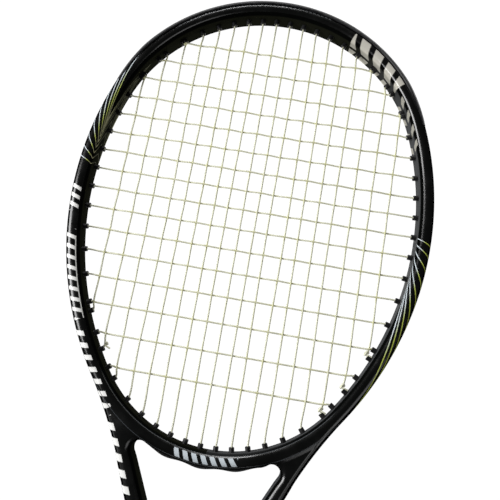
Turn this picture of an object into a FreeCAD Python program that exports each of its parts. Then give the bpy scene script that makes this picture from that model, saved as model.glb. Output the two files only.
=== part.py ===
import FreeCAD, Part
import math
import os
import Sketcher

# A graphite tennis racket lying flat. The string plane is XY at z = 0, +Y runs from the butt to the
# tip of the head, +X is across the head, and the origin is the middle of the butt end face.
vec = FreeCAD.Vector
upward = vec(0, 0, 1)
doc = FreeCAD.newDocument("TennisRacket")
sheet = doc.addObject("Spreadsheet::Sheet", "Sizes")

drivingSizes = [
    ("overall_length", 685.8, "butt face to the outside of the head guard"),
    ("head_half_width", 121.5, "inside of the hoop at its widest"),
    ("side_radius", 226.3, "inside radius of the hoop's long sides"),
    ("tip_join_angle", 20.1, "where the side arc meets the tip arc, degrees above X"),
    ("low_join_angle", 35.6, "where the side arc meets the throat arc, degrees below X"),
    ("beam_depth", 21.5, "frame depth along Z"),
    ("tube_width", 9.6, "frame width in the hoop"),
    ("shaft_width", 11.5, "frame width in the shafts"),
    ("corner_radius", 4.5, "rounding of the frame section"),
    ("wall_thickness", 1.4, "laminate"),
    ("hollow_flat", 0.6, "flat left inside and outside in the hollow's section"),
    ("bridge_reach", 44.0, "half span of the string holes that leave through the bridge"),
    ("bridge_end_wall", 4.0, "solid end of the bridge beyond its hollow, degrees"),
    ("groove_depth", 3.0, "string groove round the outside of the hoop"),
    ("groove_width", 6.6, "string groove along Z"),
    ("flare_radius", 300.0, "outward bend of the shaft just below the hoop, centreline"),
    ("shaft_angle", 25.0, "lean of the straight part of a shaft"),
    ("merge_radius", 100.0, "bend that brings the shafts together, centreline"),
    ("shaft_gap", 0.5, "between the two shafts in the handle"),
    ("shaft_end_y", 20.0, "lower end of the shafts inside the handle"),
    ("guard_thickness", 1.5, "head guard outside the frame"),
    ("guard_wrap", 2.0, "how near the frame's centreline the guard's flanges reach"),
    ("strip_thickness", 0.9, "base of a grommet strip"),
    ("strip_clearance", 0.1, "strip to the side of its groove"),
    ("strip_lip", 1.4, "rise of the throat strip's lips above the bridge"),
    ("strip_end_gap", 0.5, "throat strip short of its groove at each end, degrees"),
    ("channel_width", 4.8, "string channel of the throat strip and the guard, along Z"),
    ("barrel_radius", 1.9, "outside of a grommet barrel"),
    ("barrel_bore", 1.4, "bore radius of a grommet barrel"),
    ("barrel_reach", 3.6, "barrel beyond the inside of the hoop"),
    ("barrel_root", 0.3, "how far a barrel runs into its strip's base"),
    ("bore_clearance", 0.05, "radial gap round a barrel in the frame and a string in a knot"),
    ("string_radius", 0.65, "1.3 mm string"),
    ("string_lift", 0.7, "mains below and crosses above the string plane"),
    ("string_depth", 0.75, "centre of a string loop below the frame's outside"),
    ("loop_bend", 1.0, "bend of a string as it turns into the groove, centreline"),
    ("barrel_bend", 2.0, "bend of a string as it leaves a barrel, centreline"),
    ("main_count", 18, "long strings"),
    ("main_pitch", 10.6, "spacing of the middle long strings"),
    ("main_growth", 0.0148, "widening of the spacing outwards"),
    ("cross_count", 16, "short strings"),
    ("cross_pitch", 14.7, "spacing of the middle short strings"),
    ("cross_middle", 5.0, "middle of the short strings above the hoop's widest point"),
    ("cross_growth_tip", 0.048, "widening of the spacing towards the tip"),
    ("cross_growth_low", 0.156, "widening of the spacing towards the throat"),
    ("cross_growth_power", 2.5, "how sharply that widening rises with distance"),
    ("knot_radius", 1.9, "tie-off knot"),
    ("knot_rise", 2.66, "centre of a knot above the end of its string's straight run"),
    ("pallet_start", 14.0, "lower end of the pallet"),
    ("pallet_end", 192.0, "upper end of the pallet"),
    ("pallet_half_width", 15.0, "along X"),
    ("pallet_half_depth", 12.9, "along Z"),
    ("bevel_share", 0.2, "bevel of an octagon as a share of its half width plus half depth"),
    ("bore_half_width", 11.8, "hollow of the pallet, along X"),
    ("bore_half_depth", 10.8, "hollow of the pallet, along Z"),
    ("bore_cut", 2.5, "bevel of the hollow"),
    ("lip_length", 7.0, "flared lip of the butt cap"),
    ("lip_half_width", 19.6, "along X"),
    ("lip_half_depth", 17.5, "along Z"),
    ("cone_foot_width", 17.2, "half width of the cap's cone at the lip"),
    ("cone_foot_depth", 15.1, "half depth of the cap's cone at the lip"),
    ("cap_end", 32.0, "upper end of the butt cap"),
    ("cap_wall", 1.2, "wall of the cap at its upper end"),
    ("grip_thickness", 1.8, "wrapped grip"),
    ("grip_shoulder", 45.0, "where the grip becomes straight"),
    ("grip_end", 190.0, "upper end of the grip"),
    ("tape_length", 14.0, "finishing tape along the handle"),
    ("tape_thickness", 0.25, "finishing tape"),
    ("collar_clearance", 0.35, "collar to tape"),
    ("collar_wall", 1.5, "rubber collar"),
    ("collar_start", 178.0, "lower end of the collar"),
    ("collar_shoulder", 196.0, "where the collar begins to narrow"),
    ("collar_end", 211.0, "upper end of the collar"),
    ("collar_mouth_width", 13.4, "half width of the collar's upper mouth"),
    ("collar_mouth_depth", 11.2, "half depth of the collar's upper mouth"),
    ("door_half_width", 10.0, "trap door along X"),
    ("door_half_depth", 7.0, "trap door along Z"),
    ("door_thickness", 2.2, "trap door plate"),
    ("door_gap", 0.35, "round the trap door"),
    ("door_ledge", 2.0, "ledge that the trap door sits on"),
    ("leg_length", 8.0, "snap legs of the trap door"),
    ("leg_width", 8.0, "snap legs across Z"),
    ("leg_thickness", 1.4, "snap legs along X"),
    ("staple_y", 25.0, "staples along the handle"),
    ("staple_span", 10.0, "crown of a staple"),
    ("staple_wire", 1.0, "wire of a staple"),
    ("staple_leg", 3.2, "depth of a staple's legs"),
]
for row, (alias, value, note) in enumerate(drivingSizes, start=1):
    sheet.set(f"A{row}", alias)
    sheet.set(f"B{row}", str(value))
    sheet.set(f"C{row}", note)
    sheet.setAlias(f"B{row}", alias)
doc.recompute()
size = {alias: float(sheet.get(alias)) for alias, value, note in drivingSizes}
subParts = []

# The inside of the hoop is an oval of tangent arcs: a tip arc and a throat arc centred on the Y axis
# and two long side arcs. The radii of the end arcs follow from the half width and the join angles.
tipAngle = math.radians(size["tip_join_angle"])
lowAngle = math.radians(size["low_join_angle"])
sideRadius = size["side_radius"]
sideOffset = sideRadius - size["head_half_width"]
tipRadius = sideRadius - sideOffset / math.cos(tipAngle)
lowRadius = sideRadius - sideOffset / math.cos(lowAngle)
tubeWidth = size["tube_width"]
halfTube = tubeWidth / 2
tipRise = (sideRadius - tipRadius) * math.sin(tipAngle)
lowDrop = (sideRadius - lowRadius) * math.sin(lowAngle)
widestY = size["overall_length"] - size["guard_thickness"] - tubeWidth - tipRadius - tipRise
sideCentre = vec(-sideOffset, widestY, 0)
tipCentre = vec(0, widestY + tipRise, 0)
lowCentre = vec(0, widestY - lowDrop, 0)


def heading(degrees):
    """Unit vector in the string plane, counted from +X towards +Y."""
    turn = math.radians(degrees)
    return vec(math.cos(turn), math.sin(turn), 0)


def placed(profile, place, outward):
    """Put a profile drawn in (outward, z) coordinates at a place on the path."""
    moved = profile.copy()
    turn = FreeCAD.Rotation(outward, upward, outward.cross(upward), "XYZ")
    moved.Placement = FreeCAD.Placement(place, turn)
    return moved


def roundedFace(low, high, halfDepth, radius):
    """Rounded rectangle from low to high across the frame and halfDepth either side of z = 0."""
    plate = Part.makePlane(high - low, 2 * halfDepth, vec(low, -halfDepth, 0))
    block = plate.extrude(vec(0, 0, 1))
    corners = [edge for edge in block.Edges if abs(edge.tangentAt(edge.FirstParameter).z) > 0.9]
    rounded = block.makeFillet(radius, corners)
    return min(rounded.Faces, key=lambda face: face.CenterOfMass.z)


def plainFace(low, high, bottom, top):
    """Rectangle in (outward, z) coordinates."""
    return Part.makePlane(high - low, top - bottom, vec(low, bottom, 0))


def arcStretch(face, centre, radius, start, turn):
    """Carry a profile round an arc; its zero lies on the given radius."""
    outward = heading(start)
    section = placed(face, centre + outward * radius, outward)
    return section.revolve(centre, upward, turn)


def tidySolid(shape):
    """One clean solid with the seams between stretches removed."""
    merged = shape.removeSplitter()
    return merged.Solids[0] if len(merged.Solids) == 1 else merged


def feature(name, shape):
    """A sub-part whose shape is worked out here from the sheet's sizes."""
    item = doc.addObject("Part::Feature", name)
    item.Label = name
    item.Shape = shape
    item.Placement = FreeCAD.Placement()
    subParts.append(item)
    return item


# The frame's path down one shaft: it leaves the hoop at the low join, flares to the shaft's lean,
# runs straight, bends in beside the other shaft and goes down into the handle.
middleRadius = sideRadius + halfTube
leanAngle = math.radians(size["shaft_angle"])
flareRadius = size["flare_radius"]
mergeRadius = size["merge_radius"]
joinPoint = sideCentre + heading(-size["low_join_angle"]) * middleRadius
flareCentre = joinPoint + heading(-size["low_join_angle"]) * flareRadius
flareEnd = flareCentre + heading(180 - size["shaft_angle"]) * flareRadius
shaftX = (size["shaft_width"] + size["shaft_gap"]) / 2
mergeStartX = shaftX + mergeRadius * (1 - math.cos(leanAngle))
straightRun = (flareEnd.x - mergeStartX) / math.sin(leanAngle)
mergeStart = flareEnd + heading(270 - size["shaft_angle"]) * straightRun
mergeCentre = mergeStart + heading(-size["shaft_angle"]) * mergeRadius
mergeEnd = mergeCentre - vec(mergeRadius, 0, 0)
flareTurn = size["low_join_angle"] - size["shaft_angle"]


def shaftStretches(hoopFace, shaftFace):
    """The shaft on the +X side from the hoop's low join to its end in the handle."""
    leanHeading = heading(-size["shaft_angle"])
    flare = arcStretch(mirroredFace(hoopFace), flareCentre, flareRadius,
                       180 - size["low_join_angle"], flareTurn)
    upperSection = placed(hoopFace, flareEnd, leanHeading).OuterWire
    lowerSection = placed(shaftFace, mergeStart, leanHeading).OuterWire
    taper = Part.makeLoft([upperSection, lowerSection], True, True)
    bend = arcStretch(shaftFace, mergeCentre, mergeRadius, 180 - size["shaft_angle"],
                      size["shaft_angle"])
    endSection = placed(shaftFace, mergeEnd, vec(1, 0, 0))
    handle = endSection.extrude(vec(0, size["shaft_end_y"] - mergeEnd.y, 0))
    return [flare, taper, bend, handle]


def mirroredFace(face):
    """The same profile with outward and inward changed over."""
    return face.mirror(vec(0, 0, 0), vec(1, 0, 0))


def hairpin(hoopFace, shaftFace):
    """Sweep a profile round the hoop and down both shafts as one solid."""
    side = arcStretch(hoopFace, sideCentre, middleRadius, -size["low_join_angle"],
                      size["low_join_angle"] + size["tip_join_angle"])
    tip = arcStretch(hoopFace, tipCentre, tipRadius + halfTube, size["tip_join_angle"],
                     180 - 2 * size["tip_join_angle"])
    right = [side] + shaftStretches(hoopFace, shaftFace)
    left = [piece.mirror(vec(0, 0, 0), vec(1, 0, 0)) for piece in right]
    return tidySolid(tip.multiFuse(right + left))


def sideRibbon(face):
    """Carry a profile down the +X side of the hoop and past the flare, for grooves and strips."""
    side = arcStretch(face, sideCentre, middleRadius, -size["low_join_angle"],
                      size["low_join_angle"] + size["tip_join_angle"])
    flare = arcStretch(mirroredFace(face), flareCentre, flareRadius,
                       180 - size["low_join_angle"], flareTurn)
    return side.fuse(flare).removeSplitter()


def tipRibbon(face):
    """Carry a profile round the tip arc."""
    return arcStretch(face, tipCentre, tipRadius + halfTube, size["tip_join_angle"],
                      180 - 2 * size["tip_join_angle"])


def bridgeRibbon(face, halfAngle):
    """Carry a profile along the throat arc, halfAngle either side of the Y axis."""
    return arcStretch(face, lowCentre, lowRadius + halfTube, 270 - halfAngle, 2 * halfAngle)


def mirrored(shape):
    return shape.mirror(vec(0, 0, 0), vec(1, 0, 0))


# String places. Each string's straight run meets the middle of its barrel, aimDepth inside the hoop;
# from there the hole runs along the hoop's own normal, through its mouth on the inside of the hoop.
# The loops lie in the groove at string_depth below the frame's outside.
aimDepth = (size["barrel_reach"] + size["string_radius"]) / 2
bridgeReach = size["bridge_reach"]
loopDepth = halfTube - size["string_depth"]
baseTop = halfTube - size["groove_depth"] + size["strip_thickness"]
grooveBed = halfTube - size["groove_depth"]


def spread(count):
    """Half-step places counted from the middle: -2.5, -1.5, ... 2.5."""
    return [place - (count - 1) / 2 for place in range(int(count))]


def mainX(place):
    return size["main_pitch"] * place + size["main_growth"] * place ** 3


def crossY(place):
    growth = size["cross_growth_tip"] if place > 0 else -size["cross_growth_low"]
    widening = growth * abs(place) ** size["cross_growth_power"]
    return widestY + size["cross_middle"] + size["cross_pitch"] * place + widening


def arcFor(point):
    """Centre, inside radius and kind of the arc that a point near the inside of the hoop belongs to."""
    towardsTip = math.degrees(math.atan2(point.y - tipCentre.y, abs(point.x)))
    towardsThroat = math.degrees(math.atan2(lowCentre.y - point.y, abs(point.x)))
    if towardsTip > size["tip_join_angle"]:
        return tipCentre, tipRadius, "tip"
    if towardsThroat > size["low_join_angle"]:
        return lowCentre, lowRadius, "throat"
    centre = vec(math.copysign(sideCentre.x, -point.x), widestY, 0)
    return centre, sideRadius, "side"


def mainAim(x, towardsTip):
    """Place in the middle of a barrel that a long string runs to."""
    for centre, radius in ((tipCentre, tipRadius), (sideCentre, sideRadius), (lowCentre, lowRadius)):
        reach = math.sqrt(max((radius - aimDepth) ** 2 - (abs(x) - centre.x) ** 2, 0))
        aim = vec(x, centre.y + reach if towardsTip else centre.y - reach, 0)
        if arcFor(aim)[1] == radius:
            return aim
    raise ValueError("no arc holds this string")


def crossAim(y, side):
    """Place in the middle of a barrel that a short string runs to."""
    for centre, radius in ((tipCentre, tipRadius), (sideCentre, sideRadius), (lowCentre, lowRadius)):
        reach = centre.x + math.sqrt(max((radius - aimDepth) ** 2 - (y - centre.y) ** 2, 0))
        aim = vec(side * reach, y, 0)
        if arcFor(aim)[1] == radius:
            return aim
    raise ValueError("no arc holds this string")


class Hole:
    """One string hole: its mouth, its direction outwards, and where the loop turns in the groove."""

    def __init__(self, aim):
        centre, radius, kind = arcFor(aim)
        self.outward = (aim - centre).normalize()
        self.mouth = aim + self.outward * aimDepth
        self.side = math.copysign(1, aim.x)
        self.kind = kind
        self.run = halfTube + loopDepth
        if kind == "throat" and abs(self.mouth.x) > bridgeReach:
            self.kind = "side"
            self.run = self.throughShaft()
        self.tip = self.mouth - self.outward * (size["barrel_reach"] + size["string_radius"])
        self.turn = self.mouth + self.outward * self.run

    def throughShaft(self):
        """Length from the mouth to the loop where the hole goes through the flaring shaft."""
        centre = vec(flareCentre.x * self.side, flareCentre.y, 0)
        loopRadius = flareRadius - loopDepth
        offset = self.mouth - centre
        along = offset.dot(self.outward)
        return -along - math.sqrt(along ** 2 - offset.dot(offset) + loopRadius ** 2)

    def rod(self, radius, start, end):
        """Cylinder along the hole, its ends measured outwards from the mouth."""
        return Part.makeCylinder(radius, end - start, self.mouth + self.outward * start, self.outward)

    def bed(self):
        """Distance from the mouth to the bed of the groove."""
        return self.run - loopDepth + grooveBed


mainPlaces = spread(size["main_count"])
crossPlaces = spread(size["cross_count"])
mainHoles = [(Hole(mainAim(mainX(place), False)), Hole(mainAim(mainX(place), True)))
             for place in mainPlaces]
crossHoles = [(Hole(crossAim(crossY(place), -1)), Hole(crossAim(crossY(place), 1)))
              for place in crossPlaces]
holes = [hole for pair in mainHoles + crossHoles for hole in pair]

# Frame tube: outside less hollow, groove and string holes. Cutters run past the solid by an overrun.
overrun = 1.0
holeRadius = size["barrel_radius"] + size["bore_clearance"]
halfBeam = size["beam_depth"] / 2
wall = size["wall_thickness"]
shaftHalf = size["shaft_width"] / 2
hoopFace = roundedFace(-halfTube, halfTube, halfBeam, size["corner_radius"])
shaftFace = roundedFace(-shaftHalf, shaftHalf, halfBeam, size["corner_radius"])
hollowTop = halfTube - size["groove_depth"] - wall
hollowRadius = (hollowTop + halfTube - wall - size["hollow_flat"]) / 2
hoopHollow = roundedFace(-halfTube + wall, hollowTop, halfBeam - wall, hollowRadius)
shaftHollow = roundedFace(-shaftHalf + wall, shaftHalf - wall, halfBeam - wall, hollowRadius)
grooveFace = plainFace(grooveBed, halfTube + overrun, -size["groove_width"] / 2, size["groove_width"] / 2)
outside = hairpin(hoopFace, shaftFace)
hollow = hairpin(hoopHollow, shaftHollow)
sideGroove = sideRibbon(grooveFace)
grooves = [tipRibbon(grooveFace), sideGroove, mirrored(sideGroove)]
drillings = [hole.rod(holeRadius, -overrun, hole.run + overrun)
             for hole in holes if hole.kind != "throat"]
tube = outside.cut(hollow).cut(Part.makeCompound(grooves)).cut(Part.makeCompound(drillings))
feature("frame_tube", tidySolid(tube))

# Throat bridge: a bar along the throat arc, let in between the two shafts.
throatAngle = 90 - size["low_join_angle"]
bar = bridgeRibbon(hoopFace, throatAngle)
bar = bar.cut(outside)
bar = max(bar.Solids, key=lambda solid: solid.Volume)
bridgeHoles = [hole for hole in holes if hole.kind == "throat"]
stripAngle = math.degrees(math.asin(bridgeReach / (lowRadius + tubeWidth)))
bridgeDrillings = [hole.rod(holeRadius, -overrun, hole.run + 2 * overrun) for hole in bridgeHoles]
sideDrillings = [hole.rod(holeRadius, -overrun, hole.run) for hole in holes if hole.kind == "side"]
bar = bar.cut(bridgeRibbon(hoopHollow, stripAngle - size["bridge_end_wall"]))
bar = bar.cut(bridgeRibbon(grooveFace, stripAngle))
bar = bar.cut(Part.makeCompound(bridgeDrillings + sideDrillings))
feature("throat_bridge", tidySolid(max(bar.Solids, key=lambda solid: solid.Volume)))


# Grommet strips: a base in the groove and a barrel in every hole, bored for the string.
halfGroove = size["groove_width"] / 2 - size["strip_clearance"]
baseFace = plainFace(grooveBed, baseTop, -halfGroove, halfGroove)


def withBarrels(base, stripHoles):
    """Join the barrels to a strip and bore them."""
    reach = size["barrel_reach"]
    barrels = [hole.rod(size["barrel_radius"], -reach, hole.bed() + size["barrel_root"])
               for hole in stripHoles]
    bores = [hole.rod(size["barrel_bore"], -reach - overrun, hole.run) for hole in stripHoles]
    return tidySolid(base.multiFuse(barrels).cut(Part.makeCompound(bores)))


def holesOf(kind, side=0):
    """The holes of one kind, on one side of the Y axis or on both."""
    return [hole for hole in holes if hole.kind == kind and hole.side * side >= 0]


sideBase = sideRibbon(baseFace)
feature("right_grommets", withBarrels(sideBase, holesOf("side", 1)))
feature("left_grommets", withBarrels(mirrored(sideBase), holesOf("side", -1)))


def channelFace(rise, flange, section):
    """Section of a strip with a string channel: a base, two lips and a flange on each side."""
    halfChannel = size["channel_width"] / 2
    channel = plainFace(baseTop, halfTube + rise + overrun, -halfChannel, halfChannel)
    body = plainFace(grooveBed, halfTube + rise, -halfGroove, halfGroove)
    sides = plainFace(halfTube, halfTube + rise, -flange, flange)
    whole = body.fuse(sides if section is None else section)
    return whole.removeSplitter().cut(channel).Faces


def carried(faces, ribbon):
    """Sweep each face of a section and join the results."""
    stretches = [ribbon(face) for face in faces]
    return stretches[0].multiFuse(stretches[1:]) if len(stretches) > 1 else stretches[0]


lipFaces = channelFace(size["strip_lip"], size["groove_width"], None)
throatBase = carried(lipFaces, lambda face: bridgeRibbon(face, stripAngle - size["strip_end_gap"]))
feature("throat_grommets", withBarrels(throatBase, holesOf("throat")))

# Head guard: a skin round the outer half of the tip arc with its channel and barrels.
guard = size["guard_thickness"]
skin = roundedFace(-halfTube - guard, halfTube + guard, halfBeam + guard, size["corner_radius"] + guard)
skin = skin.common(plainFace(size["guard_wrap"], halfTube + guard, -halfBeam - guard, halfBeam + guard))
skin = skin.cut(hoopFace)
guardBase = carried(channelFace(guard, halfGroove, skin), tipRibbon)
feature("bumper_guard", withBarrels(guardBase, holesOf("tip")))


def smoothPath(points, radii):
    """Wire of straight runs joined by tangent arcs, with one radius for each inner point."""
    edges = []
    start = points[0]
    for before, corner, after, radius in zip(points, points[1:], points[2:], radii):
        incoming = (corner - before).normalize()
        outgoing = (after - corner).normalize()
        turn = incoming.getAngle(outgoing)
        setback = radius * math.tan(turn / 2)
        bisector = (outgoing - incoming).normalize()
        arcStart = corner - incoming * setback
        arcEnd = corner + outgoing * setback
        arcMiddle = corner + bisector * (radius / math.cos(turn / 2) - radius)
        edges.append(Part.LineSegment(start, arcStart).toShape())
        edges.append(Part.Arc(arcStart, arcMiddle, arcEnd).toShape())
        start = arcEnd
    edges.append(Part.LineSegment(start, points[-1]).toShape())
    return Part.Wire(edges)


def stringSolid(points):
    """Round string through a list of points, tight at the groove and easy at the barrels."""
    corners = [size["loop_bend"], size["barrel_bend"], size["barrel_bend"], size["loop_bend"]]
    radii = (corners * len(points))[1:len(points) - 1]
    path = smoothPath(points, radii)
    section = Part.Face(Part.Wire(Part.makeCircle(size["string_radius"], points[0],
                                                  points[1] - points[0])))
    return path.makePipe(section)


def lacing(pairs, lift):
    """Points of one string that goes to and fro through pairs of holes."""
    points = []
    for number, (first, last) in enumerate(pairs):
        ends = (first, last) if number % 2 == 0 else (last, first)
        points += [ends[0].turn, ends[0].tip, ends[1].tip, ends[1].turn]
    return [point + upward * lift for point in points]


feature("main_strings", stringSolid(lacing(mainHoles, -size["string_lift"])))
feature("cross_strings", stringSolid(lacing(crossHoles, size["string_lift"])))

# Tie-off knots, each one round a long string just inside its lower grommet. The long strings are
# counted from -X.
knottedMains = (1, 15, 16, 17)
coreReach = 2 * size["knot_radius"]
knots = []
for number in knottedMains:
    bottom, top = mainHoles[number]
    knotCentre = bottom.tip + vec(0, size["knot_rise"], -size["string_lift"])
    ball = Part.makeSphere(size["knot_radius"], knotCentre)
    core = Part.makeCylinder(size["string_radius"] + size["bore_clearance"], 2 * coreReach,
                             knotCentre - vec(0, coreReach, 0), vec(0, 1, 0))
    knots.append(ball.cut(core))
feature("string_knots", Part.makeCompound(knots))


# The handle's pieces are mostly octagonal, so their sketches share one outline.
def newBody(name):
    body = doc.addObject("PartDesign::Body", name)
    body.Label = name
    subParts.append(body)
    return body


def outline(body, corners, place):
    """Closed sketch across the handle, at a distance up the Y axis given as an expression."""
    plane = next(item for item in body.Origin.OriginFeatures if item.Role == "XZ_Plane")
    sketch = body.newObject("Sketcher::SketchObject", body.Label + "_outline")
    sketch.AttachmentSupport = [(plane, "")]
    sketch.MapMode = "FlatFace"
    sketch.setExpression("AttachmentOffset.Base.z", f"-({place}) * 1 mm")
    values = [(sheet.evalExpression(across), sheet.evalExpression(above)) for across, above in corners]
    count = len(corners)
    for index in range(count):
        start = vec(*values[index], 0)
        end = vec(*values[(index + 1) % count], 0)
        sketch.addGeometry(Part.LineSegment(start, end), False)
    for index in range(count):
        sketch.addConstraint(Sketcher.Constraint("Coincident", index, 2, (index + 1) % count, 1))
    for index, (across, above) in enumerate(corners):
        for kind, text, value in (("DistanceX", across, values[index][0]),
                                  ("DistanceY", above, values[index][1])):
            number = sketch.addConstraint(Sketcher.Constraint(kind, -1, 1, index, 1, value))
            sketch.setExpression(f"Constraints[{number}]", f"({text}) * 1 mm")
    return sketch


def octagon(width, depth, bevel=None):
    """Corners of an octagon of these half sizes, counter-clockwise, as expressions."""
    bevel = bevel or f"Sizes.bevel_share * ({width} + {depth})"
    shortWidth = f"{width} - {bevel}"
    shortDepth = f"{depth} - {bevel}"
    return [(width, f"-({shortDepth})"), (width, shortDepth), (shortWidth, depth),
            (f"-({shortWidth})", depth), (f"-({width})", shortDepth),
            (f"-({width})", f"-({shortDepth})"), (f"-({shortWidth})", f"-({depth})"),
            (shortWidth, f"-({depth})")]


def oblong(left, right, bottom, top):
    return [(left, bottom), (right, bottom), (right, top), (left, top)]


def centred(width, depth):
    return oblong(f"-({width})", width, f"-({depth})", depth)


def extruded(body, kind, corners, start, end):
    """Pad or pocket from one place on the Y axis up to another."""
    sketch = outline(body, corners, start)
    step = body.newObject(f"PartDesign::{kind}", f"{body.Label}_{kind.lower()}")
    step.Profile = sketch
    step.Reversed = kind == "Pad"
    step.setExpression("Length", f"(({end}) - ({start})) * 1 mm")
    return step


def lofted(body, kind, sections):
    """Straight-sided loft through outlines, each one given with its place on the Y axis."""
    sketches = [outline(body, corners, place) for corners, place in sections]
    step = body.newObject(f"PartDesign::{kind}", f"{body.Label}_{kind.lower()}")
    step.Profile = sketches[0]
    step.Sections = sketches[1:]
    step.Ruled = True
    return step


def grown(extra):
    """The pallet's octagon grown by an expression."""
    return octagon(f"(Sizes.pallet_half_width + {extra})", f"(Sizes.pallet_half_depth + {extra})")


palletOctagon = grown("0")
capOctagon = grown("Sizes.cap_wall")
coneFoot = octagon("Sizes.cone_foot_width", "Sizes.cone_foot_depth")
gripOver = "Sizes.grip_thickness"
tapeOver = "Sizes.grip_thickness + Sizes.tape_thickness"

# Pallet: the octagonal handle moulded round the two shafts.
pallet = newBody("handle_pallet")
extruded(pallet, "Pad", palletOctagon, "Sizes.pallet_start", "Sizes.pallet_end")
boreOctagon = octagon("Sizes.bore_half_width", "Sizes.bore_half_depth", "Sizes.bore_cut")
extruded(pallet, "Pocket", boreOctagon, "Sizes.pallet_start", "Sizes.pallet_end")

# Butt cap: a flared lip, a cone under the grip, a socket for the pallet and a seat for the door.
cap = newBody("butt_cap")
lipOctagon = octagon("Sizes.lip_half_width", "Sizes.lip_half_depth")
extruded(cap, "Pad", lipOctagon, "0", "Sizes.lip_length")
lofted(cap, "AdditiveLoft", [(coneFoot, "Sizes.lip_length"), (capOctagon, "Sizes.cap_end")])
extruded(cap, "Pocket", palletOctagon, "Sizes.pallet_start", "Sizes.cap_end")
doorSeat = centred("(Sizes.door_half_width + Sizes.door_gap)", "(Sizes.door_half_depth + Sizes.door_gap)")
extruded(cap, "Pocket", doorSeat, "0", "Sizes.door_thickness + Sizes.door_gap")
doorway = centred("(Sizes.door_half_width - Sizes.door_ledge)",
                  "(Sizes.door_half_depth - Sizes.door_ledge)")
extruded(cap, "Pocket", doorway, "0", "Sizes.pallet_start")

# Trap door: a plate flush with the butt face and two legs that grip the doorway.
door = newBody("trap_door")
extruded(door, "Pad", centred("Sizes.door_half_width", "Sizes.door_half_depth"), "0",
         "Sizes.door_thickness")
legOuter = "(Sizes.door_half_width - Sizes.door_ledge - Sizes.door_gap)"
legInner = f"({legOuter} - Sizes.leg_thickness)"
for near, far in ((legInner, legOuter), (f"-{legOuter}", f"-{legInner}")):
    extruded(door, "Pad", oblong(near, far, "-Sizes.leg_width / 2", "Sizes.leg_width / 2"),
             "Sizes.door_thickness", "Sizes.door_thickness + Sizes.leg_length")

# Grip: it widens over the cap's cone and is straight above it.
grip = newBody("base_grip")
lofted(grip, "AdditiveLoft", [
    (octagon("(Sizes.cone_foot_width + Sizes.grip_thickness)",
             "(Sizes.cone_foot_depth + Sizes.grip_thickness)"), "Sizes.lip_length"),
    (grown("Sizes.cap_wall + Sizes.grip_thickness"), "Sizes.cap_end"),
    (grown(gripOver), "Sizes.grip_shoulder"),
    (grown(gripOver), "Sizes.grip_end"),
])
lofted(grip, "SubtractiveLoft", [(coneFoot, "Sizes.lip_length"), (capOctagon, "Sizes.cap_end")])
extruded(grip, "Pocket", palletOctagon, "Sizes.cap_end", "Sizes.grip_end")

# Finishing tape: a thin band round the top of the grip.
tape = newBody("finishing_tape")
tapeStart = "Sizes.grip_end - Sizes.tape_length"
extruded(tape, "Pad", grown(tapeOver), tapeStart, "Sizes.grip_end")
extruded(tape, "Pocket", grown(gripOver), tapeStart, "Sizes.grip_end")

# Collar: a rubber sleeve over the tape that narrows to the shafts.
collar = newBody("grip_collar")
collarInner = grown(f"{tapeOver} + Sizes.collar_clearance")
collarOuter = grown(f"{tapeOver} + Sizes.collar_clearance + Sizes.collar_wall")
mouthInner = octagon("Sizes.collar_mouth_width", "Sizes.collar_mouth_depth", "Sizes.bore_cut")
mouthOuter = octagon("(Sizes.collar_mouth_width + Sizes.collar_wall)",
                     "(Sizes.collar_mouth_depth + Sizes.collar_wall)")
lofted(collar, "AdditiveLoft", [(collarOuter, "Sizes.collar_start"),
                                (collarOuter, "Sizes.collar_shoulder"),
                                (mouthOuter, "Sizes.collar_end")])
lofted(collar, "SubtractiveLoft", [(collarInner, "Sizes.collar_start"),
                                   (collarInner, "Sizes.collar_shoulder"),
                                   (mouthInner, "Sizes.collar_end")])


def wire(name, length, place):
    """Square staple wire as a box with its size and place given as expressions, in X, Y, Z order."""
    box = doc.addObject("Part::Box", name)
    for key, text in zip(("Length", "Width", "Height"), length):
        box.setExpression(key, f"({text}) * 1 mm")
    for key, text in zip("xyz", place):
        box.setExpression(f"Placement.Base.{key}", f"({text}) * 1 mm")
    return box


# Staples: one through each flat side of the cap into the pallet.
capSurface = "Sizes.pallet_half_depth + Sizes.cap_wall"
wireY = "Sizes.staple_y - Sizes.staple_wire / 2"
crown = wire("staple_crown", ("Sizes.staple_span", "Sizes.staple_wire", "Sizes.staple_wire"),
             ("-Sizes.staple_span / 2", wireY, capSurface))
legs = [wire("staple_leg", ("Sizes.staple_wire", "Sizes.staple_wire", "Sizes.staple_leg"),
             (start, wireY, f"{capSurface} - Sizes.staple_leg"))
        for start in ("-Sizes.staple_span / 2", "Sizes.staple_span / 2 - Sizes.staple_wire")]
upperStaple = doc.addObject("Part::MultiFuse", "staple_upper")
upperStaple.Shapes = [crown] + legs
lowerStaple = doc.addObject("Part::Mirroring", "staple_lower")
lowerStaple.Source = upperStaple
lowerStaple.Normal = upward
staples = doc.addObject("Part::Compound", "butt_staples")
staples.Label = "butt_staples"
staples.Links = [upperStaple, lowerStaple]
subParts.append(staples)

# Recompute, check every object and every sub-part, and write the sub-parts.
doc.recompute()
for item in doc.Objects:
    if "Invalid" in item.State or "Error" in item.State:
        raise RuntimeError(f"{item.Name} did not recompute: {item.State}")
for item in subParts:
    if item.Shape.isNull() or not item.Shape.isValid() or not item.Shape.Solids:
        raise RuntimeError(f"{item.Label} has no valid solid")
os.makedirs("parts", exist_ok=True)
for item in subParts:
    item.Shape.exportStep(f"parts/{item.Label}.step")
    print(f"{item.Label}: {len(item.Shape.Solids)} solid(s), {item.Shape.Volume / 1000:.2f} cm3")
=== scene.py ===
import bpy
import bmesh
import math
from mathutils import Matrix, Vector


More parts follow.
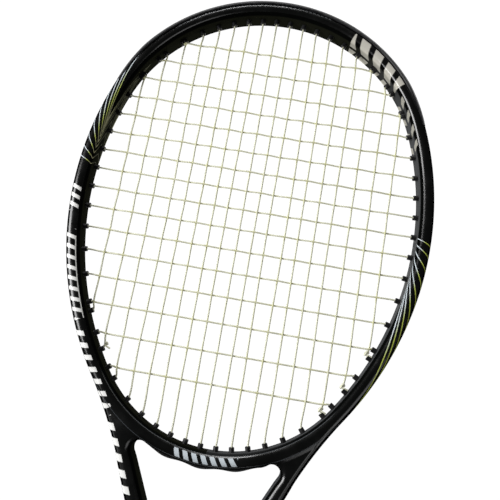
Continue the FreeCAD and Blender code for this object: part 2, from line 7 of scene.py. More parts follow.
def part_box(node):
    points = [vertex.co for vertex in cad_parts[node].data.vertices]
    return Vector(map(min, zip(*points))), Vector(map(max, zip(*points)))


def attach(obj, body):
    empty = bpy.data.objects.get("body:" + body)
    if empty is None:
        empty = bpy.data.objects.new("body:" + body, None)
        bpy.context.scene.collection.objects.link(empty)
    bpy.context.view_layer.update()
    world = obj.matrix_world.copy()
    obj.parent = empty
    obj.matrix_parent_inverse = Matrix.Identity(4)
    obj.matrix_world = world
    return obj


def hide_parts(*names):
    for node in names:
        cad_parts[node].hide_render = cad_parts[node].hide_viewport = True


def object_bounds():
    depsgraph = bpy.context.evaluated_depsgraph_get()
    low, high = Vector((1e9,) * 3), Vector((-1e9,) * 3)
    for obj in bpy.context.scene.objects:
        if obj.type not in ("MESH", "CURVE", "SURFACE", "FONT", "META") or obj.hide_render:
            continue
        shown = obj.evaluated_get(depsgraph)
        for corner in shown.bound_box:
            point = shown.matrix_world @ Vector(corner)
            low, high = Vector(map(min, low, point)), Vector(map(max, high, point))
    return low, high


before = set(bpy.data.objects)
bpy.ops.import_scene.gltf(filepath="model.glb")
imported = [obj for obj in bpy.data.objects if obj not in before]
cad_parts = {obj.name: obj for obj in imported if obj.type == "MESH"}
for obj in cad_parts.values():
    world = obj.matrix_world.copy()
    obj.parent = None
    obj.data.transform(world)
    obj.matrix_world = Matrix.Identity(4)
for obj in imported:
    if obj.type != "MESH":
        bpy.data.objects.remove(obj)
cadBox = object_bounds()
mm = 0.001
collection = bpy.context.scene.collection
up = Vector((0, 0, 1))

# The hoop's inside is an oval of arcs; both shafts leave it at the low join
hoop = {
    "halfWidth": 121.5 * mm, "sideRadius": 226.3 * mm, "tipJoin": 20.1, "lowJoin": 35.6,
    "tubeWidth": 9.6 * mm, "shaftWidth": 11.5 * mm, "beam": 21.5 * mm, "corner": 4.4 * mm,
    "flareRadius": 300 * mm, "lean": 25.0, "mergeRadius": 100 * mm, "shaftGap": 0.5 * mm,
    "shaftEnd": 20 * mm, "throatFillet": 6 * mm, "widening": 35 * mm, "neckWidth": 10.4 * mm,
    "grooveDepth": 3.0 * mm, "grooveWidth": 6.6 * mm, "step": 2.2 * mm,
    "wallHeight": 9.4 * mm, "flankHeight": 10.2 * mm, "bridgeGroove": 27, "cutClearance": 2 * mm,
    "weld": 0.01 * mm,
}


def heading(degrees):
    turn = math.radians(degrees)
    return Vector((math.cos(turn), math.sin(turn), 0))


def joinedRadius(angle):
    return hoop["sideRadius"] - (hoop["sideRadius"] - hoop["halfWidth"]) / math.cos(math.radians(angle))


tubeWidth = hoop["tubeWidth"]
halfTube = tubeWidth / 2
tipRadius = joinedRadius(hoop["tipJoin"])
lowRadius = joinedRadius(hoop["lowJoin"])
tipCentre = Vector((0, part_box("frame_tube")[1].y - tubeWidth - tipRadius, 0))
sideCentre = tipCentre - heading(hoop["tipJoin"]) * (hoop["sideRadius"] - tipRadius)
lowCentre = sideCentre + heading(-hoop["lowJoin"]) * (hoop["sideRadius"] - lowRadius)
widestY = sideCentre.y
flareCentre = sideCentre + heading(-hoop["lowJoin"]) * (hoop["sideRadius"] + halfTube + hoop["flareRadius"])
flareEnd = flareCentre + heading(180 - hoop["lean"]) * hoop["flareRadius"]
shaftX = (hoop["shaftWidth"] + hoop["shaftGap"]) / 2
mergeStartX = shaftX + hoop["mergeRadius"] * (1 - math.cos(math.radians(hoop["lean"])))
straightRun = (flareEnd.x - mergeStartX) / math.sin(math.radians(hoop["lean"]))
mergeStart = flareEnd + heading(270 - hoop["lean"]) * straightRun
mergeCentre = mergeStart + heading(-hoop["lean"]) * hoop["mergeRadius"]


def evaluatedMesh(holder):
    bpy.context.view_layer.update()
    return bpy.data.meshes.new_from_object(holder.evaluated_get(bpy.context.evaluated_depsgraph_get()))


def finish(bm, name, weld=0.001 * mm):
    bmesh.ops.remove_doubles(bm, verts=bm.verts, dist=weld)
    bmesh.ops.recalc_face_normals(bm, faces=bm.faces)
    mesh = bpy.data.meshes.new(name)
    bm.to_mesh(mesh)
    bm.free()
    piece = bpy.data.objects.new(name, mesh)
    collection.objects.link(piece)
    return piece


def meshFrom(curve, name, weld=0.001 * mm):
    holder = bpy.data.objects.new(name + "Curve", curve)
    collection.objects.link(holder)
    bm = bmesh.new()
    bm.from_mesh(evaluatedMesh(holder))
    bpy.data.objects.remove(holder)
    return finish(bm, name, weld)


def arcPoints(centre, radius, start, end):
    # points every step or so along an arc, from the start to the end angle in degrees
    count = max(2, round(abs(math.radians(end - start)) * radius / hoop["step"]))
    return [centre + heading(start + (end - start) * i / count) * radius for i in range(count + 1)]


def hoopSide(offset):
    # from the tip down the +X side to the low join, offset outwards from the inside of the hoop
    tip = arcPoints(tipCentre, tipRadius + offset, 90, hoop["tipJoin"])
    side = arcPoints(sideCentre, hoop["sideRadius"] + offset, hoop["tipJoin"], -hoop["lowJoin"])
    return tip + side[1:]


def shaftSide(outwards, inset):
    # one edge of the +X shaft, from the low join to the handle; outwards is 1 or -1
    def edge(width):
        return (width / 2 - inset) * outwards
    lean = heading(-hoop["lean"])
    down = heading(270 - hoop["lean"])
    flare = arcPoints(flareCentre, hoop["flareRadius"] - edge(tubeWidth), 180 - hoop["lowJoin"],
                      180 - hoop["lean"])
    narrow = flareEnd + lean * edge(hoop["neckWidth"]) + down * 6 * mm
    wide = flareEnd + lean * edge(hoop["shaftWidth"]) + down * hoop["widening"]
    merge = arcPoints(mergeCentre, hoop["mergeRadius"] - edge(hoop["shaftWidth"]), 180 - hoop["lean"], 180)
    end = Vector((shaftX + edge(hoop["shaftWidth"]), hoop["shaftEnd"], 0))
    return flare[:-1] + [narrow, wide] + merge + [end]


def mirrored(points):
    return [Vector((-p.x, p.y, p.z)) for p in reversed(points)]


def throatHole(inset):
    # under the bridge, round the fillet into each shaft and down the gap between them
    bridge = lowRadius + tubeWidth - inset
    fillet = hoop["throatFillet"] + inset
    reachLow = bridge + fillet
    reachFlare = hoop["flareRadius"] + halfTube + hoop["throatFillet"]
    apart = (flareCentre - lowCentre).length
    along = (reachLow ** 2 - reachFlare ** 2 + apart ** 2) / (2 * apart)
    across = math.sqrt(reachLow ** 2 - along ** 2)
    towards = (flareCentre - lowCentre).normalized()
    centre = lowCentre + towards * along + up.cross(towards) * -across
    startAngle = math.degrees(math.atan2(centre.y - lowCentre.y, centre.x))
    flareAngle = math.degrees(math.atan2(flareCentre.y - centre.y, flareCentre.x - centre.x))
    under = arcPoints(lowCentre, bridge, -90, startAngle)
    corner = arcPoints(centre, fillet, startAngle + 180, flareAngle)
    shaft = [p for p in shaftSide(-1, inset) if p.y < corner[-1].y - hoop["step"]]
    half = under + corner[1:] + shaft
    return half + mirrored(half[1:])


def plate(name, outlines, thickness, rounding, segments):
    # flat closed outlines made solid, with rounded edges
    curve = bpy.data.curves.new(name, "CURVE")
    curve.dimensions = "2D"
    curve.fill_mode = "BOTH"
    curve.extrude = thickness / 2 - rounding
    curve.bevel_depth = rounding
    curve.bevel_resolution = segments
    for outline in outlines:
        spline = curve.splines.new("POLY")
        spline.points.add(len(outline) - 1)
        for point, place in zip(spline.points, outline):
            point.co = (place.x, place.y, 0, 1)
        spline.use_cyclic_u = True
    return meshFrom(curve, name, hoop["weld"])


def frameShell():
    inset = hoop["corner"]
    outer = hoopSide(tubeWidth - inset) + shaftSide(1, inset)[1:]
    outer = outer + mirrored(outer[1:])
    inner = hoopSide(inset) + arcPoints(lowCentre, lowRadius + inset, -hoop["lowJoin"], -90)[1:]
    inner = inner + mirrored(inner[1:-1])
    return plate("frameShell", [outer, inner, throatHole(inset)], hoop["beam"], inset, 5)


def cutGroove(shell):
    # the string groove, cut as one C-shaped band from below one shaft's flare round the tip
    def edge(offset):
        flare = arcPoints(flareCentre, hoop["flareRadius"] + halfTube - offset, 180 - hoop["lowJoin"],
                          180 - hoop["lean"])
        side = hoopSide(offset) + flare[1:]
        return mirrored(side) + side[1:]
    bed = edge(tubeWidth - hoop["grooveDepth"])
    outside = edge(tubeWidth + hoop["cutClearance"])
    start, end = -90 + hoop["bridgeGroove"], -90 - hoop["bridgeGroove"]
    low = arcPoints(lowCentre, lowRadius + tubeWidth - hoop["grooveDepth"], start, end)
    below = arcPoints(lowCentre, lowRadius + tubeWidth + hoop["cutClearance"], end, start)
    for name, outline in (("grooveBand", bed + outside[::-1]), ("grooveBridge", low + below)):
        band = plate(name, [outline], hoop["grooveWidth"], 0, 0)
        cutter = shell.modifiers.new(name, "BOOLEAN")
        cutter.operation = "DIFFERENCE"
        cutter.object = band
        cutter.solver = "EXACT"
        mesh = evaluatedMesh(shell)
        shell.modifiers.clear()
        shell.data = mesh
        bpy.data.objects.remove(band)


tipLength = math.radians(90 - hoop["tipJoin"]) * (tipRadius + halfTube)
sideLength = math.radians(hoop["tipJoin"] + hoop["lowJoin"]) * (hoop["sideRadius"] + halfTube)
flareLength = math.radians(hoop["lowJoin"] - hoop["lean"]) * hoop["flareRadius"]


def framePlace(point):
    # distance along the frame from the tip, and outwards from the frame's inner wall
    flat = Vector((abs(point.x), point.y, 0))

    def polar(centre):
        offset = flat - centre
        return math.degrees(math.atan2(offset.y, offset.x)), offset.length
    angle, reach = polar(tipCentre)
    if angle > hoop["tipJoin"]:
        return math.radians(90 - angle) * (tipRadius + halfTube), reach - tipRadius
    angle, reach = polar(sideCentre)
    if angle > -hoop["lowJoin"]:
        along = math.radians(hoop["tipJoin"] - angle) * (hoop["sideRadius"] + halfTube)
        return tipLength + along, reach - hoop["sideRadius"]
    angle, reach = polar(flareCentre)
    angle %= 360
    if angle < 180 - hoop["lean"]:
        along = math.radians(angle - 180 + hoop["lowJoin"]) * hoop["flareRadius"]
        return tipLength + sideLength + along, halfTube + hoop["flareRadius"] - reach
    offset = flat - flareEnd
    along = offset.dot(heading(270 - hoop["lean"]))
    return tipLength + sideLength + flareLength + along, offset.dot(heading(-hoop["lean"])) + halfTube


def girth(outwards, z):
    # distance round the section from the middle of the inner wall
    corner = hoop["corner"]
    flat = hoop["beam"] / 2 - corner
    above = abs(z) - flat
    if above <= 0:
        return abs(z) if outwards < halfTube else 2 * flat + corner * math.pi + 1 * mm - abs(z)
    if outwards < halfTube:
        return flat + corner * math.atan2(above, max(corner - outwards, 1e-6))
    return flat + corner * math.pi / 2 + 0.8 * mm + corner * math.atan2(outwards - tubeWidth + corner, above)


def addSweepMap(piece):
    # U runs along the frame and V round its section, in metres; the side walls take the matt slot
    mesh = piece.data
    mesh.materials.append(lacquerMaterial("frameWall", Specular_IOR_Level=0.0))
    layer = mesh.uv_layers.new(name="sweep")
    places = [framePlace(vertex.co) for vertex in mesh.vertices]
    for face in mesh.polygons:
        inside = framePlace(face.center)[1] < halfTube
        height = hoop["wallHeight"] if inside else hoop["flankHeight"]
        face.material_index = 1 if abs(face.center.z) < height and abs(face.normal.z) < 0.95 else 0
        for corner in face.loop_indices:
            point = mesh.vertices[mesh.loops[corner].vertex_index].co
            along, outwards = places[mesh.loops[corner].vertex_index]
            side = 1 if face.center.x >= 0 else -1
            sign = -1 if inside and point.z < 0 else 1
            layer.data[corner].uv = (along * side, girth(outwards, point.z) * sign)


# Small helpers for node materials
def newMaterial(name, colour=(0.5, 0.5, 0.5), roughness=0.5, **settings):
    material = bpy.data.materials.new(name)
    material.use_nodes = True
    tree = material.node_tree
    shader = tree.nodes["Principled BSDF"]
    shader.inputs["Base Color"].default_value = (*colour, 1)
    shader.inputs["Roughness"].default_value = roughness
    for socket, value in settings.items():
        shader.inputs[socket.replace("_", " ")].default_value = value
    return material, tree, shader


def put(tree, socket, value):
    if isinstance(value, bpy.types.NodeSocket):
        tree.links.new(value, socket)
    elif isinstance(value, tuple):
        socket.default_value = (*value, 1) if len(value) == 3 and len(socket.default_value) == 4 else value
    else:
        socket.default_value = value


def calc(tree, operation, first, second=0.0, third=0.0):
    node = tree.nodes.new("ShaderNodeMath")
    node.operation = operation
    for socket, value in zip(node.inputs, (first, second, third)):
        put(tree, socket, value)
    return node.outputs[0]


def ramp(tree, value, low, high, start=0.0, end=1.0):
    # smooth step from low to high, remapped to start and end
    node = tree.nodes.new("ShaderNodeMapRange")
    node.interpolation_type = "SMOOTHSTEP"
    for socket, given in zip(node.inputs, (value, low, high, start, end)):
        put(tree, socket, given)
    return node.outputs[0]


def between(tree, value, low, high, soft):
    return calc(tree, "MULTIPLY", ramp(tree, value, low - soft, low + soft),
                ramp(tree, value, high - soft, high + soft, 1.0, 0.0))


def mixColour(tree, factor, first, second):
    node = tree.nodes.new("ShaderNodeMix")
    node.data_type = "RGBA"
    put(tree, node.inputs["Factor"], factor)
    put(tree, node.inputs[6], first)
    put(tree, node.inputs[7], second)
    return node.outputs[2]


def noise(tree, vector, scale, detail=2.0, roughness=0.5):
    node = tree.nodes.new("ShaderNodeTexNoise")
    for name, value in (("Vector", vector), ("Scale", scale), ("Detail", detail), ("Roughness", roughness)):
        put(tree, node.inputs[name], value)
    return node.outputs["Fac"]


def objectPlace(tree):
    return tree.nodes.new("ShaderNodeTexCoord").outputs["Object"]


def separate(tree, vector):
    node = tree.nodes.new("ShaderNodeSeparateXYZ")
    put(tree, node.inputs[0], vector)
    return node.outputs


def bump(tree, shader, height, distance, strength=1.0):
    node = tree.nodes.new("ShaderNodeBump")
    put(tree, node.inputs["Height"], height)
    node.inputs["Distance"].default_value = distance
    node.inputs["Strength"].default_value = strength
    tree.links.new(node.outputs[0], shader.inputs["Normal"])


# Paint on the frame: fans of fine lines at the upper left and the right, and rows of slanted bars
paint = {
    "weaveDark": (0.0012, 0.0013, 0.0012), "weaveLight": (0.003, 0.0033, 0.0031),
    # the right inner wall's colour is painted lighter than the left one, a painted pool of light from the lamp
    # on the left
    "wallLeft": (0.010, 0.0105, 0.007), "wallRightPaintedLit": (0.058, 0.06, 0.062),
    "silver": (0.62, 0.68, 0.72), "lime": (0.5, 0.58, 0.1), "cream": (0.36, 0.35, 0.22),
    "white": (0.85, 0.85, 0.83), "grey": (0.34, 0.33, 0.29), "chrome": (0.56, 0.54, 0.48),
    # edge is a painted highlight colour for the lines along the bridge's two grooves
    "edge": (0.045, 0.05, 0.055), "dash": (0.09, 0.095, 0.1),
    "lineWidth": 0.52 * mm, "lines": 9.5, "fanStart": 4.3, "fanShift": 4.0, "fanSpread": 0.7, "fanGrowth": 0.9,
}
# each fan: its first line in mm, its reach along the frame, and the girth where its lines fold back
fans = (
    {"first": 219.0, "start": -222 * mm, "end": -84 * mm, "girth": 11 * mm, "fold": 0.72, "base": "cream",
     "tints": ((0.1, 0.35, "lime"), (0.3, 0.6, "silver")), "onWall": (0.1, 0.1, 0.07)},
    {"first": -226.0, "start": 228 * mm, "end": 372 * mm, "girth": 13 * mm, "fold": 0.38, "base": "silver",
     "tints": ((0.45, 0.7, "lime"),), "onWall": (0.12, 0.12, 0.12)},
)
# rows of bars in mm: start and end along the frame, pitch, share painted, low and high girth
barRows = ((-252, -232, 6.6, 0.42, 10.5, 17.5), (-331, -266, 7.6, 0.36, 10.5, 17.5),
           (-395, -336, 8.8, 0.42, 12.8, 18.6), (-600, -400, 10.5, 0.5, 14.2, 19.4))


def fanLines(tree, distance, across):
    # distance in mm from the first line, across from 0 at the inner edge to 1 at the outer edge;
    # line k starts at fanStart * k and ends fanShift + fanSpread * k + fanGrowth * k * k further on
    q = calc(tree, "MAXIMUM", calc(tree, "MULTIPLY_ADD", across, -paint["fanShift"], distance), 0.0)
    b = calc(tree, "MULTIPLY_ADD", across, paint["fanSpread"], paint["fanStart"])
    fourA = calc(tree, "MULTIPLY", across, 4 * paint["fanGrowth"])
    root = calc(tree, "SQRT", calc(tree, "MULTIPLY_ADD", fourA, q, calc(tree, "MULTIPLY", b, b)))
    k = calc(tree, "DIVIDE", calc(tree, "MULTIPLY", q, 2.0), calc(tree, "ADD", b, root))
    run = calc(tree, "MULTIPLY_ADD", calc(tree, "MULTIPLY", k, k), paint["fanGrowth"], paint["fanShift"])
    run = calc(tree, "MULTIPLY_ADD", k, paint["fanSpread"], run)
    tilt = calc(tree, "SQRT", calc(tree, "MULTIPLY_ADD", calc(tree, "MULTIPLY", run, run), 0.01, 1.0))
    nearest = calc(tree, "ABSOLUTE", calc(tree, "SUBTRACT", k, calc(tree, "ROUND", k)))
    away = calc(tree, "DIVIDE", calc(tree, "MULTIPLY", nearest, root), tilt)
    half = paint["lineWidth"] / mm / 2
    line = ramp(tree, away, half - 0.12, half + 0.12, 1.0, 0.0)
    return calc(tree, "MULTIPLY", line, between(tree, k, 0.6, paint["lines"], 0.05))


def slantedBars(tree, along, round_, start, end, pitch, duty, slant, low, high):
    # a row of bars leaning by slant, duty of each pitch painted
    place = calc(tree, "MULTIPLY_ADD", round_, slant, along)
    phase = calc(tree, "FRACT", calc(tree, "DIVIDE", place, pitch))
    bar = between(tree, phase, (1 - duty) / 2, (1 + duty) / 2, 0.03)
    window = calc(tree, "MULTIPLY", between(tree, along, start, end, 0.3 * mm),
                  between(tree, round_, low, high, 0.15 * mm))
    return calc(tree, "MULTIPLY", bar, window)


def brightest(tree, first, *others):
    for other in others:
        first = calc(tree, "MAXIMUM", first, other)
    return first


def lacquerMaterial(name, **finishSettings):
    # fine weave under lacquer, with the fans, bars and bridge marks painted by place along the frame
    material, tree, shader = newMaterial(name, paint["weaveDark"], 0.28, **finishSettings)
    sweep = tree.nodes.new("ShaderNodeUVMap")
    sweep.uv_map = "sweep"
    along, signedRound, _ = separate(tree, sweep.outputs[0])
    round_ = calc(tree, "ABSOLUTE", signedRound)
    place = objectPlace(tree)
    _, _, z = separate(tree, place)
    weave = noise(tree, place, 900, 3)
    inside = ramp(tree, round_, 5.2 * mm, 7.2 * mm, 1.0, 0.0)
    colour = mixColour(tree, weave, paint["weaveDark"], paint["weaveLight"])
    # painted light: the inner wall goes from its dark colour on the left to a lighter painted-lit tone on the
    # right
    wall = mixColour(tree, ramp(tree, along, 50 * mm, 150 * mm), paint["wallLeft"], paint["wallRightPaintedLit"])
    colour = mixColour(tree, inside, colour, wall)

    wobble = calc(tree, "MULTIPLY_ADD", noise(tree, place, 22, 1), 5.0, -2.5)
    for fan in fans:
        distance = calc(tree, "ADD", calc(tree, "MULTIPLY_ADD", along, 1 / mm, fan["first"]), wobble)
        across = calc(tree, "ABSOLUTE", calc(tree, "MULTIPLY_ADD", round_, 1 / fan["girth"], -fan["fold"]))
        lines = calc(tree, "MULTIPLY", fanLines(tree, distance, across),
                     between(tree, along, fan["start"], fan["end"], 2 * mm))
        tint = paint[fan["base"]]
        for low, high, hue in fan["tints"]:
            tint = mixColour(tree, ramp(tree, across, low, high), tint, paint[hue])
        tint = mixColour(tree, inside, tint, fan["onWall"])
        colour = mixColour(tree, lines, colour, tint)

    bars = brightest(tree, *(slantedBars(tree, along, round_, start * mm, end * mm, pitch * mm, duty, -0.45,
                                         low * mm, high * mm)
                             for start, end, pitch, duty, low, high in barRows))
    rail = calc(tree, "MULTIPLY", between(tree, round_, 10.2 * mm, 10.9 * mm, 0.15 * mm),
                between(tree, along, -331 * mm, -271 * mm, 0.3 * mm))
    worn = ramp(tree, noise(tree, place, 160, 4, 0.7), 0.24, 0.3, 0.5, 1.0)
    colour = mixColour(tree, calc(tree, "MULTIPLY", brightest(tree, bars, rail), worn), colour, paint["white"])
    block = slantedBars(tree, along, round_, 58 * mm, 112 * mm, 13.5 * mm, 0.62, 0.4, 1.5 * mm, 15 * mm)
    blockColour = mixColour(tree, ramp(tree, round_, 5 * mm, 8 * mm), paint["grey"], paint["chrome"])
    colour = mixColour(tree, block, colour, blockColour)
    ticks = slantedBars(tree, along, round_, 118 * mm, 166 * mm, 12 * mm, 0.4, 0.5, 2 * mm, 9 * mm)
    colour = mixColour(tree, ticks, colour, paint["grey"])
    dashes = slantedBars(tree, along, round_, -85 * mm, 36 * mm, 3.1 * mm, 0.62, 0.25, 14.4 * mm, 15.3 * mm)
    colour = mixColour(tree, dashes, colour, paint["dash"])

    # the bridge carries a row of bars between two fine grooves that follow the hoop, each groove with a painted
    # highlight line
    fromLow = tree.nodes.new("ShaderNodeVectorMath")
    fromLow.operation = "SUBTRACT"
    put(tree, fromLow.inputs[0], place)
    fromLow.inputs[1].default_value = lowCentre
    acrossX, acrossY, _ = separate(tree, fromLow.outputs[0])
    squares = [calc(tree, "POWER", across, 2.0) for across in (acrossX, acrossY)]
    reach = calc(tree, "SUBTRACT", calc(tree, "SQRT", calc(tree, "ADD", *squares)), lowRadius)
    angle = calc(tree, "ARCTAN2", acrossX, calc(tree, "MULTIPLY", acrossY, -1.0))
    arc = calc(tree, "MULTIPLY", angle, lowRadius)
    front = ramp(tree, z, 8.0 * mm, 9.5 * mm)
    nearBridge = calc(tree, "MULTIPLY", front, ramp(tree, calc(tree, "ABSOLUTE", angle), 0.85, 1.0, 1.0, 0.0))
    badge = slantedBars(tree, arc, reach, -21 * mm, 21 * mm, 6.0 * mm, 0.55, -0.5, 2.2 * mm, 7.6 * mm)
    badge = calc(tree, "MULTIPLY", badge, nearBridge)
    colour = mixColour(tree, badge, colour, paint["silver"])
    groove = brightest(tree, between(tree, reach, 1.2 * mm, 1.6 * mm, 0.15 * mm),
                       between(tree, reach, 8.3 * mm, 8.7 * mm, 0.15 * mm))
    # a painted highlight line along each bridge groove
    colour = mixColour(tree, calc(tree, "MULTIPLY", groove, nearBridge), colour, paint["edge"])
    tree.links.new(colour, shader.inputs["Base Color"])

    # relief: the hoop stands out where a shaft branches off, and each shaft has a soft crest
    branch = calc(tree, "MULTIPLY", ramp(tree, reach, tubeWidth - 2 * mm, tubeWidth + 1.5 * mm, 1.0, 0.0),
                  ramp(tree, calc(tree, "ABSOLUTE", angle), 0.3, 0.45))
    branch = calc(tree, "MULTIPLY", branch, 4.0)
    relief = calc(tree, "MULTIPLY", nearBridge, calc(tree, "SUBTRACT", branch, groove))
    relief = calc(tree, "MULTIPLY_ADD", weave, 0.05, relief)
    crest = calc(tree, "MULTIPLY", ramp(tree, round_, 14.6 * mm, 17.0 * mm, 1.0, 0.0),
                 ramp(tree, calc(tree, "ABSOLUTE", along), 372 * mm, 392 * mm))
    relief = calc(tree, "MULTIPLY_ADD", crest, 3.0, relief)
    bump(tree, shader, relief, 0.15 * mm)
    handling = noise(tree, place, 45, 4, 0.6)
    tree.links.new(ramp(tree, handling, 0.35, 0.75, 0.2, 0.34), shader.inputs["Roughness"])
    return material


# Strings: their places, as in the frame's drilling
strings = {
    "radius": 0.65 * mm, "mains": 18, "mainPitch": 10.6 * mm, "mainGrowth": 0.0148 * mm,
    "crosses": 16, "crossPitch": 14.7 * mm, "crossMiddle": 5.0 * mm,
    "growthTip": 0.048 * mm, "growthLow": 0.156 * mm, "lift": 1.3 * mm,
    "reach": 4.25 * mm, "aimDepth": 2.125 * mm, "loopDepth": 0.75 * mm, "bridgeReach": 44 * mm,
    "holeEnd": 1.5 * mm, "bendLength": 1.2 * mm, "edgeGap": 2 * mm, "notchReach": 2.2 * mm,
    "bedOffset": 0.35 * mm, "knotted": (1, 15, 16, 17), "knotRise": 2.3 * mm,
    "pushedMains": {3: 1.0 * mm, 7: -0.8 * mm, 10: -1.2 * mm, 11: 1.3 * mm, 14: -0.9 * mm},
}


def spread(count):
    return [place - (count - 1) / 2 for place in range(count)]


mainX = [strings["mainPitch"] * n + strings["mainGrowth"] * n ** 3 for n in spread(strings["mains"])]
crossY = [widestY + strings["crossMiddle"] + strings["crossPitch"] * n
          + (strings["growthTip"] if n > 0 else -strings["growthLow"]) * abs(n) ** 2.5
          for n in spread(strings["crosses"])]


def mouthArc(point):
    # the arc of the hoop that a point near its inside belongs to
    flat = Vector((abs(point.x), point.y, 0))
    if math.degrees(math.atan2(flat.y - tipCentre.y, flat.x)) > hoop["tipJoin"]:
        return tipCentre, tipRadius
    if math.degrees(math.atan2(lowCentre.y - flat.y, flat.x)) > hoop["lowJoin"]:
        return lowCentre, lowRadius
    return sideCentre, hoop["sideRadius"]


def findAim(guess):
    # where a string's straight run meets the middle of its barrel, from one guess on each arc
    for centre, radius in ((tipCentre, tipRadius), (sideCentre, hoop["sideRadius"]), (lowCentre, lowRadius)):
        aim = guess(centre, radius - strings["aimDepth"])
        if aim and mouthArc(aim)[1] == radius:
            return aim
    raise ValueError("no arc holds this string")


def mainAim(x, sign):
    def guess(centre, radius):
        square = radius ** 2 - (abs(x) - centre.x) ** 2
        return Vector((x, centre.y + sign * math.sqrt(square), 0)) if square > 0 else None
    return findAim(guess)


def crossAim(y, sign):
    def guess(centre, radius):
        square = radius ** 2 - (y - centre.y) ** 2
        return Vector((sign * (centre.x + math.sqrt(square)), y, 0)) if square > 0 else None
    return findAim(guess)


def holeAt(aim):
    # mouth, outward direction, and the place where the string turns in the groove
    centre, radius = mouthArc(aim)
    outward = (aim - Vector((centre.x * math.copysign(1, aim.x), centre.y, 0))).normalized()
    mouth = aim + outward * strings["aimDepth"]
    run = tubeWidth - strings["loopDepth"]
    if radius == lowRadius and abs(mouth.x) > strings["bridgeReach"]:
        flare = Vector((flareCentre.x * math.copysign(1, mouth.x), flareCentre.y, 0))
        offset = mouth - flare
        along = offset.dot(outward)
        loopRadius = hoop["flareRadius"] - halfTube + strings["loopDepth"]
        run = -along - math.sqrt(along ** 2 - offset.dot(offset) + loopRadius ** 2)
    return {"mouth": mouth, "outward": outward, "turn": mouth + outward * run, "run": run}


mainHoles = [(holeAt(mainAim(x, -1)), holeAt(mainAim(x, 1))) for x in mainX]
crossHoles = [(holeAt(crossAim(y, -1)), holeAt(crossAim(y, 1))) for y in crossY]


def stringCurve(name, pairs, inner, baseLift):
    # one long string: out through a hole, along the groove and back through the next
    points = []
    for number, pair in enumerate(pairs):
        ends = pair if number % 2 == 0 else pair[::-1]
        crossings = inner(number)
        if number % 2:
            crossings = crossings[::-1]
        for end, sign in ((ends[0], 1), (ends[1], -1)):
            outward, mouth = end["outward"], end["mouth"]
            lifted = [up * baseLift + p for p in (end["turn"] - outward * strings["holeEnd"], mouth,
                                                  mouth - outward * strings["reach"])]
            if sign == 1:
                if points:
                    towards = (points[-1] - end["turn"]).normalized()
                    points.append(end["turn"] + towards * strings["bendLength"])
                points += [up * baseLift + end["turn"]] + lifted + crossings
            else:
                points += lifted[::-1] + [up * baseLift + end["turn"]]
                if number + 1 < len(pairs):
                    after = pairs[number + 1][0 if number % 2 else 1]["turn"] + up * baseLift
                    points.append(points[-1] + (after - points[-1]).normalized() * strings["bendLength"])
    return tubeAlong(points, name, 4)


def tubeAlong(points, name, smoothness):
    # a string's round section carried along a smooth curve
    curve = bpy.data.curves.new(name, "CURVE")
    curve.dimensions = "3D"
    curve.bevel_depth = strings["radius"]
    curve.bevel_resolution = 2
    curve.resolution_u = smoothness
    curve.use_fill_caps = True
    spline = curve.splines.new("NURBS")
    spline.points.add(len(points) - 1)
    for point, place in zip(spline.points, points):
        point.co = (*place, 1)
    spline.order_u = 3
    spline.use_endpoint_u = True
    return meshFrom(curve, name)


def pushedX(number, y):
    # a main as play has left it: pushed aside in the middle of the bed
    low, high = mainHoles[number][0]["mouth"].y, mainHoles[number][1]["mouth"].y
    middle = math.sin(math.pi * (y - low) / (high - low))
    return mainX[number] + strings["pushedMains"].get(number, 0) * middle ** 2


def overUnder(main, cross):
    return 1 if (main + cross) % 2 == 0 else -1


def mainCrossings(number):
    low, high = mainHoles[number][0]["mouth"].y, mainHoles[number][1]["mouth"].y
    inside = [c for c, y in enumerate(crossY) if low + strings["edgeGap"] < y < high - strings["edgeGap"]]
    return [Vector((pushedX(number, crossY[c]), crossY[c], strings["lift"] * overUnder(number, c)))
            for c in inside]


def crossCrossings(number):
    reach = crossHoles[number][1]["mouth"].x
    inside = [m for m, x in enumerate(mainX) if abs(x) < reach - strings["edgeGap"]]
    return [Vector((pushedX(m, crossY[number]), crossY[number], -strings["lift"] * overUnder(m, number)))
            for m in inside]


def markCrossings(piece, alongMain):
    # how near each point is to a crossing, for the yellowed notches
    layer = piece.data.attributes.new("notch", "FLOAT", "POINT")
    for vertex in piece.data.vertices:
        places = crossY if alongMain else mainX
        value = vertex.co.y if alongMain else vertex.co.x
        nearest = min(abs(value - p) for p in places)
        layer.data[vertex.index].value = max(0, 1 - nearest / strings["notchReach"])


def stringMaterial():
    material, tree, shader = newMaterial("stringCream", (0.66, 0.65, 0.48), 0.45, Coat_Weight=0.1,
                                         Coat_Roughness=0.2)
    place = objectPlace(tree)
    notch = tree.nodes.new("ShaderNodeAttribute")
    notch.attribute_name = "notch"
    fibre = noise(tree, place, 1400, 4, 0.6)
    stain = noise(tree, place, 35, 2)
    colour = mixColour(tree, fibre, (0.62, 0.62, 0.46), (0.78, 0.78, 0.62))
    colour = mixColour(tree, ramp(tree, stain, 0.45, 0.75, 0.0, 0.35), colour, (0.54, 0.53, 0.34))
    colour = mixColour(tree, calc(tree, "MULTIPLY", notch.outputs["Fac"], 0.7), colour, (0.6, 0.59, 0.24))
    tree.links.new(colour, shader.inputs["Base Color"])
    bump(tree, shader, fibre, 0.02 * mm, 0.6)
    return material


knot = {"turns": 22, "wide": 1.0 * mm, "lobe": 0.4 * mm, "tall": 1.5 * mm,
        "tail": [(1.7, -0.5, 0.6), (3.2, -1.1, 0.3)]}


